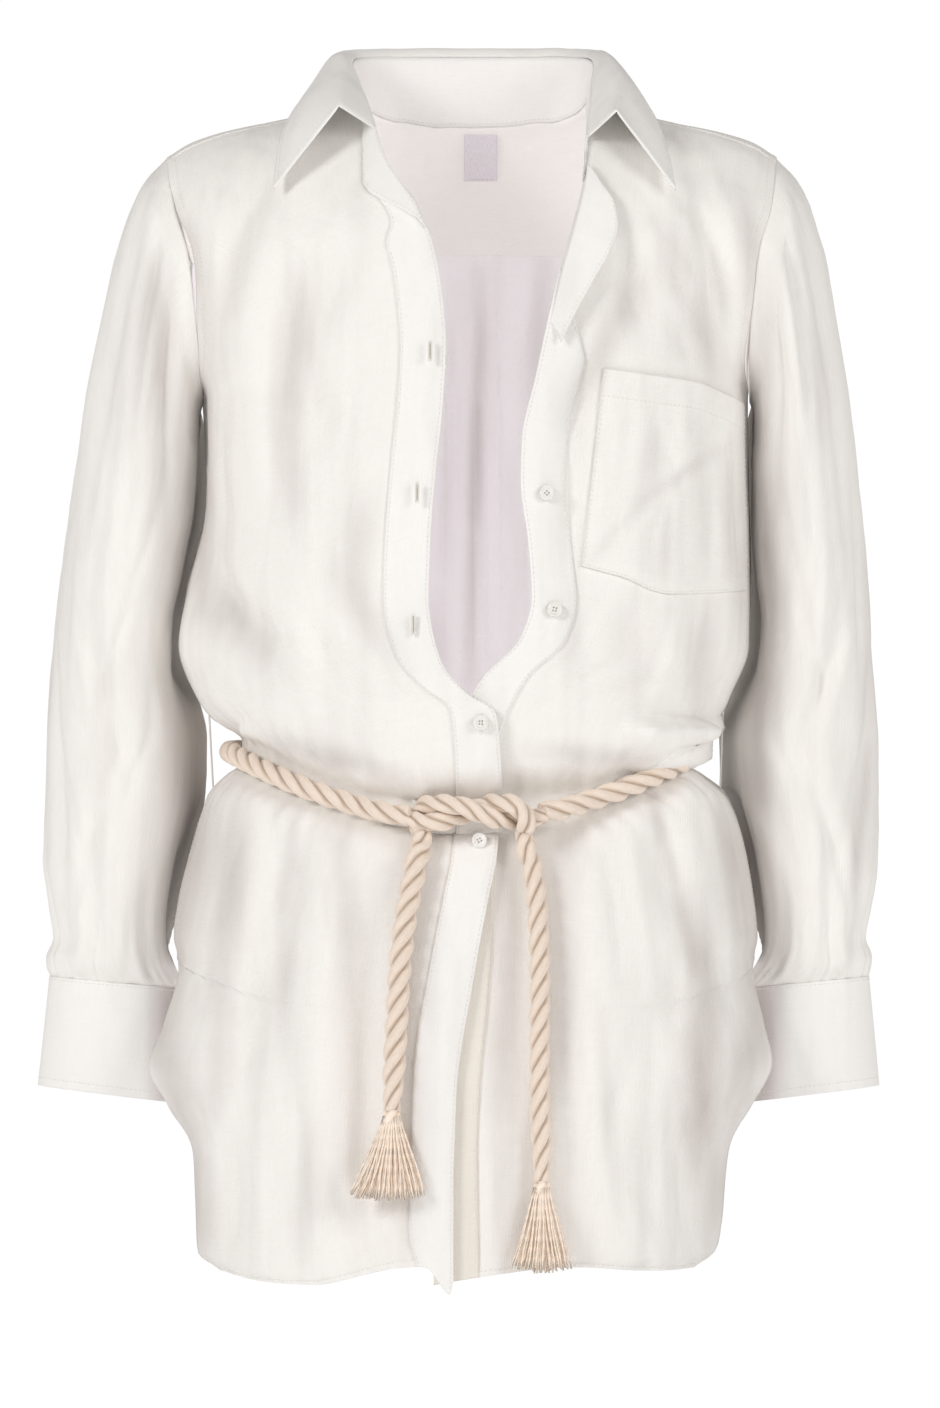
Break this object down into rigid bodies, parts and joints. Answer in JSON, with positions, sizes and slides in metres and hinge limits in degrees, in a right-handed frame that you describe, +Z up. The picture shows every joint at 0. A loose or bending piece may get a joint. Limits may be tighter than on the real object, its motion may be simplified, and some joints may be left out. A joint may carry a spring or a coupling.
{
  "type": "belted long linen shirt",
  "caption": "Long open-necked linen shirt with long cuffed sleeves, chest pocket, curved hem and a knotted twisted-rope belt with tassels.",
  "frame": {"origin": "middle of the shoulder line, where the wearer's shoulders carry the shirt", "axes": "+Z up, the front faces -Y, +X to the wearer's left"},
  "size_m": [0.5493, 0.2719, 0.8108],
  "materials": {
    "linen": "soft white washed linen",
    "pressed_linen": "white linen in two pressed layers",
    "cotton_rope": "matt beige three-strand cotton rope",
    "button": "polished white",
    "label": "woven satin, blank"
  },
  "bodies": {
    "root": {"front_right": "linen", "front_left": "linen", "back": "linen", "yoke": "linen", "sleeve_right": "linen", "sleeve_left": "linen", "sleeve_band_right": "linen", "sleeve_band_left": "linen", "pocket": "linen", "belt_loop_right": "linen", "belt_loop_left": "linen", "collar_stand": "pressed_linen", "collar_leaf": "pressed_linen", "band_right": "pressed_linen", "band_left": "pressed_linen", "band_left_turned": "pressed_linen", "cuff_right": "pressed_linen", "cuff_left": "pressed_linen", "belt_waist": "cotton_rope", "belt_knot": "cotton_rope", "belt_tail_right": "cotton_rope", "belt_tail_left": "cotton_rope", "tassel_right": "cotton_rope", "tassel_left": "cotton_rope", "button_1": "button", "button_2": "button", "button_3": "button", "button_4": "button", "button_cuff_right": "button", "button_cuff_left": "button", "neck_label": "label"}
  },
  "joints": []
}
